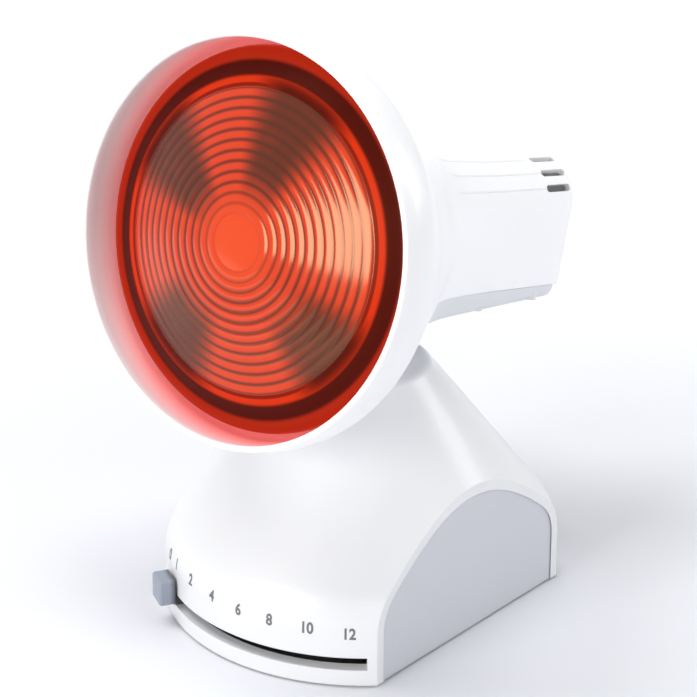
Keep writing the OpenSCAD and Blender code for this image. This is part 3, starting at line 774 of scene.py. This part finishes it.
def make_under_cover(form, materials):
    """The cover's skin under the housing."""
    cover = new_object("under_cover", hollow_head("under_cover", form, COVER_INSET,
                                                  HEAD_BACK - COVER_SHORT))
    smooth_by_angle(cover, SHARP_ANGLE)
    keep_above = box("above_seam", (-CUT_OUT, CUT_AHEAD, SEAM_UP - SEAM_OVERLAP),
                     (CUT_OUT, CUT_BEHIND, CUT_OUT))
    keep_front = box("before_seam", (-CUT_OUT, CUT_AHEAD, -CUT_OUT),
                     (CUT_OUT, SEAM_FRONT + SEAM_OVERLAP, CUT_OUT))
    cut(cover, [keep_above, keep_front])
    smooth_by_angle(cover, SHARP_ANGLE)
    cover.data.transform(head_matrix())
    dress(cover, materials["cover"])
    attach(cover, "head")


def lens_front(r):
    """Distance back of the glass's front at a radius, with its rings."""
    dome = LENS_FRONT + (LENS_EDGE - LENS_FRONT) * (r / LENS_R) ** 2
    if r <= RIB_FROM:
        return dome + RIB_FOOT * (r / RIB_FROM) ** 2
    if r < RIB_TO:
        turn = math.pi * RIB_COUNT * (r - RIB_FROM) / (RIB_TO - RIB_FROM)
        ease = clamp((r - RIB_EASE_FROM) / (RIB_EASE_TO - RIB_EASE_FROM))
        height = RIB_HEIGHT + (RIB_HEIGHT_OUT - RIB_HEIGHT) * ease
        return dome - height * abs(math.sin(turn)) + RIB_FOOT
    if r < BRIGHT_RING_TO:
        return dome + RIB_FOOT
    if r < BAND_FROM:
        turn = math.pi / 2 * (r - BRIGHT_RING_TO) / (BAND_FROM - BRIGHT_RING_TO)
        return dome + RIB_FOOT + GROOVE_DROP * math.sin(turn) ** 2
    roll = (r - BAND_FROM) / (LENS_R - BAND_FROM)
    return dome + RIB_FOOT + GROOVE_DROP - BAND_RISE * math.sin(math.pi * min(roll, 1))


def lens_profile():
    """Radius and distance back round half the glass, from the middle of its front."""
    profile = []
    r = LENS_HOLE
    while r < LENS_R - EDGE_ROUND:
        profile.append((r, lens_front(r)))
        r += LENS_STEP
    start = lens_front(LENS_R - EDGE_ROUND)
    for i in range(EDGE_STEPS + 1):
        turn = math.pi / 2 * i / EDGE_STEPS
        profile.append((LENS_R - EDGE_ROUND * (1 - math.sin(turn)),
                        start + (LENS_BACK - LENS_HOLE - start) * (1 - math.cos(turn))))
    return profile + [(LENS_R, LENS_BACK), (LENS_R - LENS_LAND, LENS_BACK),
                      (LENS_HOLE, LENS_MIDDLE_BACK)]


def make_lens(materials):
    """The bulb's front: a smooth middle, rings, a groove and a rolled outer band."""
    turns = [2 * math.pi * k / LENS_SIDES for k in range(LENS_SIDES)]
    rings = [[(r * math.cos(a), back, r * math.sin(a)) for a in turns]
             for r, back in lens_profile()]
    lens = new_object("ringed_lens", mesh_from_rings("ringed_lens", rings))
    smooth_by_angle(lens, 60)
    dress(lens, materials["lens"], materials["lens_edge"])
    mesh = lens.data
    place = mesh.attributes.new("head", "FLOAT_VECTOR", "POINT")
    for i, vertex in enumerate(mesh.vertices):
        place.data[i].vector = vertex.co
    for face in mesh.polygons:
        if math.hypot(face.center.x, face.center.z) > GLOSS_TO:
            face.material_index = 1
    mesh.transform(head_matrix())
    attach(lens, "head")
    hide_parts("bulb_lens")


# ---- the base ---------------------------------------------------------------------

# minute marks: text, degrees round from the front, height of the middle in millimetres
MARKS = (("0", -34.5, 22.5), ("1", -28.3, 22.4), ("2", -18.7, 22.1), ("4", -8.2, 21.7),
         ("6", 2.2, 21.2), ("8", 12.6, 21.1), ("10", 23.9, 20.9), ("12", 35.9, 19.9))
MARK_HEIGHT = 4.0
MARK_SHARE = 0.73       # a digit's height for each unit of the letters' size
MARK_NARROW = 0.82
MARK_BOLDER = 0.17
PRINT_LIFT = 0.04


def skirt_radius(z):
    """Outside radius of the base at a height, in millimetres."""
    if z <= SKIRT_Z:
        return BASE_R
    rise = math.asin(min((z - SKIRT_Z) / SHOULDER_R, SHOULDER_SINE))
    return BASE_R - SHOULDER_R * (1 - math.cos(rise))


def make_marks(materials):
    """Minute numbers printed round the front of the base."""
    for text, degrees, height in MARKS:
        curve = bpy.data.curves.new("mark_" + text, "FONT")
        curve.body = text
        curve.size = MARK_HEIGHT / MARK_SHARE
        curve.align_x = "CENTER"
        curve.offset = MARK_BOLDER
        flat = new_object("mark_" + text, curve)
        mesh = built_mesh(flat)
        bpy.data.objects.remove(flat)
        with Editing(mesh) as bm:
            bmesh.ops.triangulate(bm, faces=bm.faces)
            bmesh.ops.subdivide_edges(bm, edges=bm.edges, cuts=1)
            for v in bm.verts:
                z = height - MARK_HEIGHT / 2 + v.co.y
                r = skirt_radius(z) + PRINT_LIFT
                turn = math.radians(degrees) + v.co.x * MARK_NARROW / BASE_R
                v.co = Vector((r * math.sin(turn), -r * math.cos(turn), z)) * MM
            bmesh.ops.recalc_face_normals(bm, faces=bm.faces)
        mark = new_object("minute_mark_" + text, mesh)
        mark.data.materials.append(materials["print"])
        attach(mark, "base")


# ---- stage ------------------------------------------------------------------------

CAMERA_AT = Vector((0.721204, -0.877322, 0.638410))
CAMERA_RIGHT = Vector((0.768633, 0.639680, 0.003582))
CAMERA_UP = Vector((-0.280923, 0.332513, 0.900288))
CAMERA_LENS = 199.15
CAMERA_SENSOR = 36
CAMERA_SEES_TO = 50

# soft boxes: name, azimuth from the front towards +X, elevation, distance, width, height,
# power, colour
SOFT_BOXES = (
    ("front", -5, 15.5, 1.4, 0.6, 0.5, 10.4, (1.0, 0.99, 0.975)),
    ("above_left", -52, 60, 1.4, 0.6, 0.6, 8.6, (0.99, 0.99, 1.0)),
    ("right", 88, 12, 1.4, 0.9, 0.9, 6.1, (0.98, 0.985, 1.0)),
    ("front_right", 48, 14, 1.4, 0.4, 0.6, 1.5, (0.99, 0.99, 1.0)),
    ("behind_left", -120, 60, 1.4, 0.8, 0.8, 2.0, (0.98, 0.985, 1.0)),
    ("top", 10, 86, 1.4, 0.6, 0.6, 8.4, (0.99, 0.99, 1.0)),
    ("behind_right", 143, 22, 0.54, 0.2, 0.2, 0.6, (0.98, 0.985, 1.0)),
)
AIM = Vector((0, 0, 0.1))

WORLD_COLOUR = (0.96, 0.97, 1.0)
WORLD_STRENGTH = 0.11
FLOOR_COLOUR = (0.81, 0.82, 0.855)
FLOOR_HALF = 0.8
# the floor's own white grows between these distances from the lamp, in metres; nearer the lamp it
# is left darker, a painted shade round the lamp
FLOOR_LIFT_FROM = 0.09
FLOOR_LIFT_TO = 0.72


def make_camera():
    camera = bpy.data.cameras.new("camera")
    camera.lens = CAMERA_LENS
    camera.sensor_width = CAMERA_SENSOR
    camera.clip_end = CAMERA_SEES_TO
    holder = new_object("camera", camera)
    back = CAMERA_RIGHT.cross(CAMERA_UP)
    turn = Matrix((CAMERA_RIGHT, CAMERA_UP, back)).transposed().to_4x4()
    holder.matrix_world = Matrix.Translation(CAMERA_AT) @ turn
    bpy.context.scene.camera = holder


def make_lights():
    for name, azimuth, elevation, distance, width, height, power, colour in SOFT_BOXES:
        light = bpy.data.lights.new(name, "AREA")
        light.shape = "RECTANGLE"
        light.size = width
        light.size_y = height
        light.energy = power
        light.color = colour
        lamp = new_object(name, light)
        a, e = math.radians(azimuth), math.radians(elevation)
        out = Vector((math.sin(a) * math.cos(e), -math.cos(a) * math.cos(e), math.sin(e)))
        lamp.location = AIM + out * distance
        lamp.rotation_euler = out.to_track_quat("Z", "Y").to_euler()


def seen_directly(n):
    """1 for camera, glossy and transmitted rays, else 0."""
    path = n.add("ShaderNodeLightPath", {})
    seen = n.math("MAXIMUM", path.outputs["Is Camera Ray"], path.outputs["Is Glossy Ray"])
    return n.math("MAXIMUM", seen, path.outputs["Is Transmission Ray"])


def make_world():
    """A dim even light that looks white when it is seen."""
    world = bpy.data.worlds.new("studio")
    bpy.context.scene.world = world
    n = Nodes(world)
    light = n.add("ShaderNodeBackground", {"Color": WORLD_COLOUR, "Strength": WORLD_STRENGTH})
    white = n.add("ShaderNodeBackground", {"Color": WHITE, "Strength": 1.0})
    mix = n.add("ShaderNodeMixShader",
                {0: seen_directly(n), 1: light.outputs[0], 2: white.outputs[0]})
    n.add("ShaderNodeOutputWorld", {"Surface": mix.outputs[0]})


def make_floor():
    """A pale floor that looks white away from the lamp; near it the floor's own white fades out,
    a painted shade round the lamp, besides the real shadow.
    """
    mesh = bpy.data.meshes.new("floor")
    with Editing(mesh) as bm:
        bmesh.ops.create_grid(bm, x_segments=1, y_segments=1, size=FLOOR_HALF)
    floor = new_object("floor", mesh)
    n = Nodes(bpy.data.materials.new("floor"))
    # painted shade: the floor's own white fades out towards the lamp
    far = n.rise(n.length(n.coords()), FLOOR_LIFT_FROM, FLOOR_LIFT_TO)
    lift = n.product(seen_directly(n), far)
    diffuse = n.add("ShaderNodeBsdfDiffuse", {"Color": FLOOR_COLOUR})
    own_white = n.add("ShaderNodeEmission", {"Color": WHITE, "Strength": lift})
    both = n.add("ShaderNodeAddShader", {0: diffuse.outputs[0], 1: own_white.outputs[0]})
    floor.data.materials.append(n.surface(both))


def main():
    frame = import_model()
    bpy.context.scene.view_settings.view_transform = "Standard"
    materials = make_materials()
    dress_nodes(frame, materials)
    form = HeadForm()
    make_head(form, materials)
    make_under_cover(form, materials)
    make_lens(materials)
    make_marks(materials)
    make_camera()
    make_lights()
    make_world()
    make_floor()


main()
